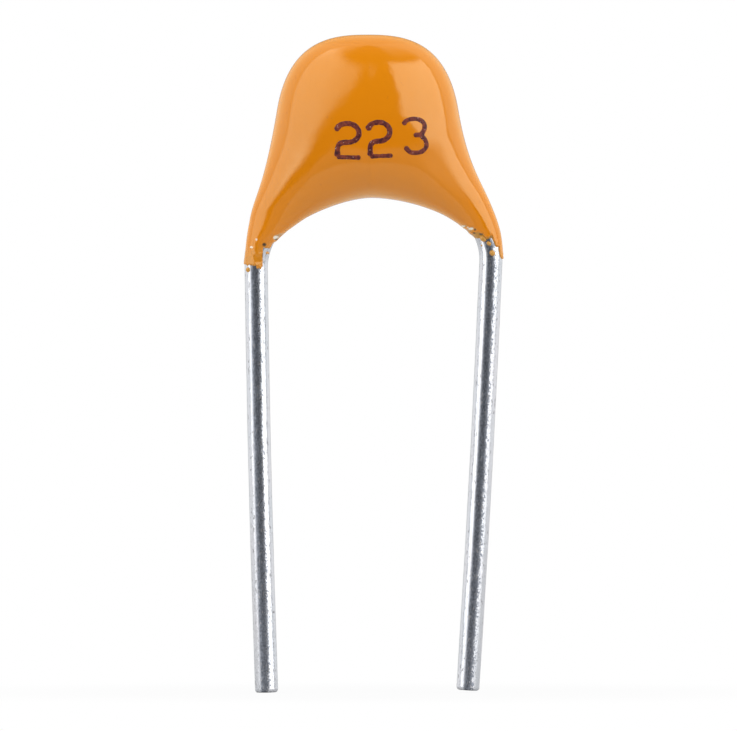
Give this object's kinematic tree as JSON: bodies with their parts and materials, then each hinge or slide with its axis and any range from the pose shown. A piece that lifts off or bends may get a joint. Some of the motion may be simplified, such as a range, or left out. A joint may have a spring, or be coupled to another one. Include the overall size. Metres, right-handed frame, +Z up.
{
  "type": "radial multilayer ceramic capacitor",
  "caption": "Dipped ceramic capacitor: a glossy domed epoxy body that arches between two straight tinned wires, with a plain value code on its front.",
  "frame": {"origin": "between the two wires, level with the longer wire's cut tip", "axes": "+Z up from the wire tips to the crown of the coating, +X along the row of the two wires, -Y out of the printed face"},
  "size_m": [0.0056, 0.0023, 0.0143],
  "materials": {
    "coating": "gloss orange epoxy",
    "ink": "dark maroon printing ink",
    "tinned_wire": "bright tinned wire, lightly scratched",
    "ceramic": "fired ceramic, matt brown",
    "plate_metal": "nickel plates inside the ceramic",
    "cap_metal": "tinned end cap, satin",
    "solder": "solder, satin"
  },
  "bodies": {
    "root": {"coating": "coating", "coating_drops": "coating", "value_code": "ink", "lead_left": "tinned_wire", "lead_right": "tinned_wire", "dielectric": "ceramic", "electrodes_left": "plate_metal", "electrodes_right": "plate_metal", "termination_left": "cap_metal", "termination_right": "cap_metal", "solder_left": "solder", "solder_right": "solder"}
  },
  "joints": []
}
